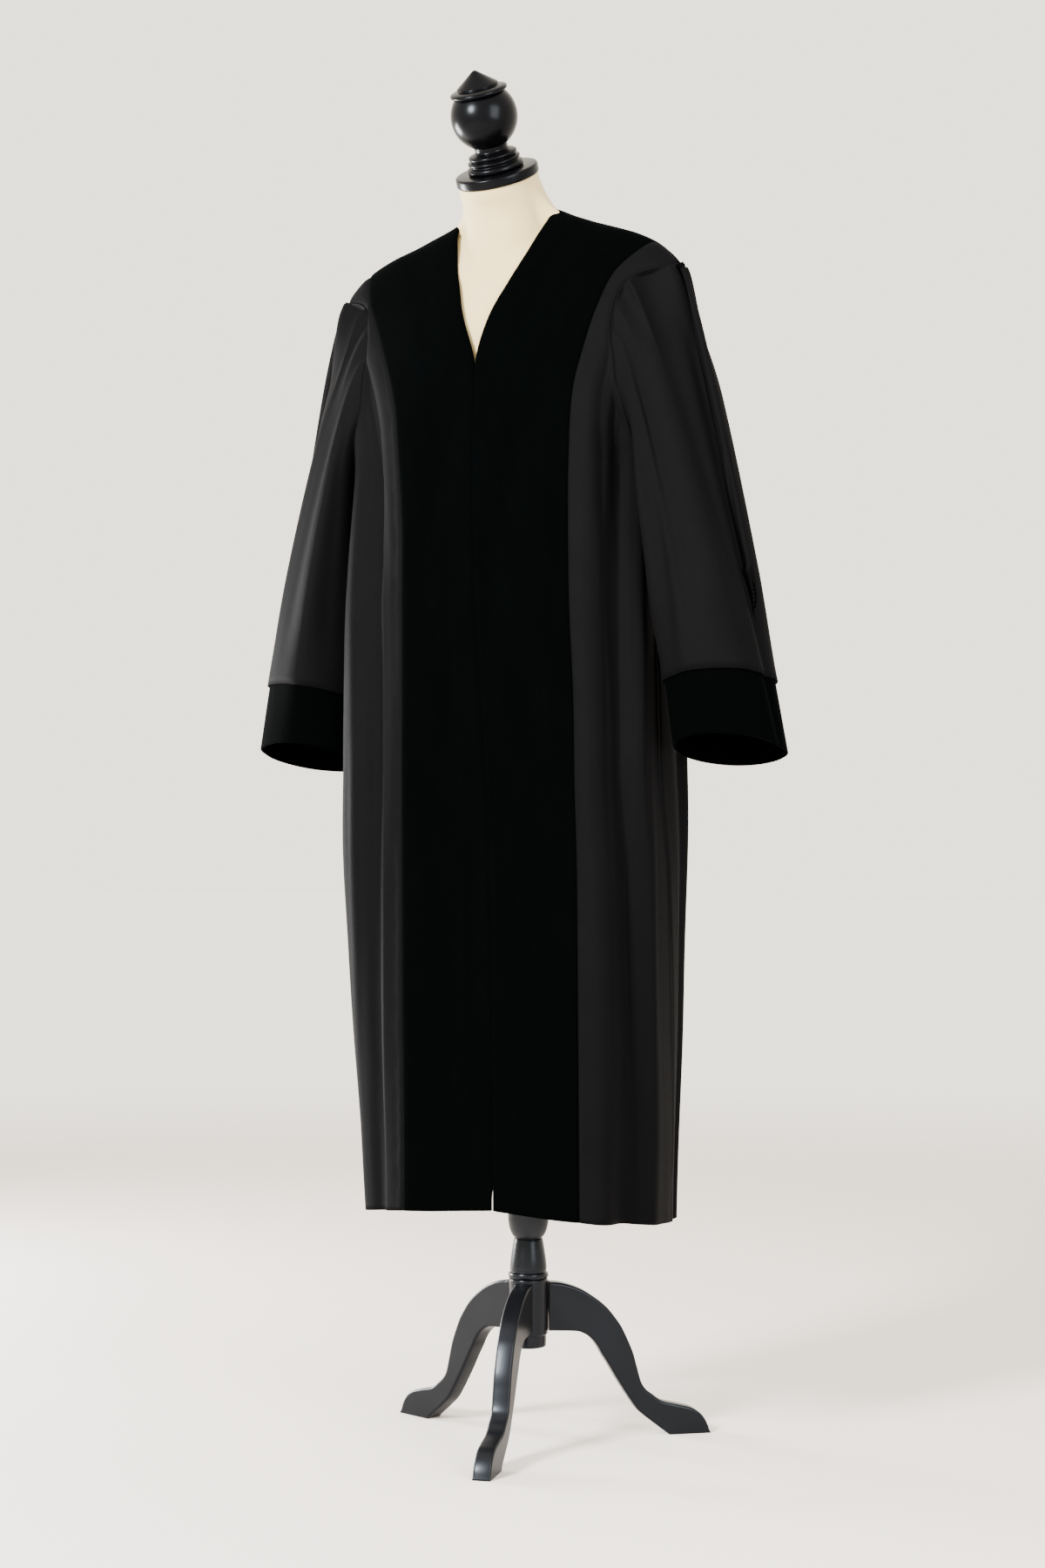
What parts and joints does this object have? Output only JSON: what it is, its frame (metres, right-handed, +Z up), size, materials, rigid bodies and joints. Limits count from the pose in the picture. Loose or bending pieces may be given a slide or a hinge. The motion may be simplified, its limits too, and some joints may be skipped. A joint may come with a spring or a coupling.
{
  "type": "prosecutor robe on a limbless dress form with a wooden stand",
  "caption": "Black court robe in wool with velvet front bands, cuffs and yoke, V neck and wide open sleeves, worn by a limbless dress form on a turned wooden stand.",
  "frame": {"origin": "on the floor, under the middle of the object's box", "axes": "+Z up, the robe's front faces -Y, the wearer's left is +X"},
  "size_m": [0.748, 0.3932, 1.6934],
  "materials": {
    "robe_wool": "black wool, fine twill, matt with a faint sheen",
    "velvet": "deep black velvet with a short pile",
    "form_jersey": "ivory cotton jersey stretched over the form",
    "black_wood": "black lacquer, satin to gloss"
  },
  "bodies": {
    "root": {"velvet_left": "velvet", "velvet_right": "velvet", "front_left": "robe_wool", "front_right": "robe_wool", "back": "robe_wool", "back_yoke": "velvet", "sleeve_left": "robe_wool", "sleeve_right": "robe_wool", "cuff_left": "velvet", "cuff_right": "velvet", "form_torso": "form_jersey", "neck_cap": "black_wood", "finial": "black_wood", "column": "black_wood", "hub": "black_wood", "leg_1": "black_wood", "leg_2": "black_wood", "leg_3": "black_wood"}
  },
  "joints": []
}
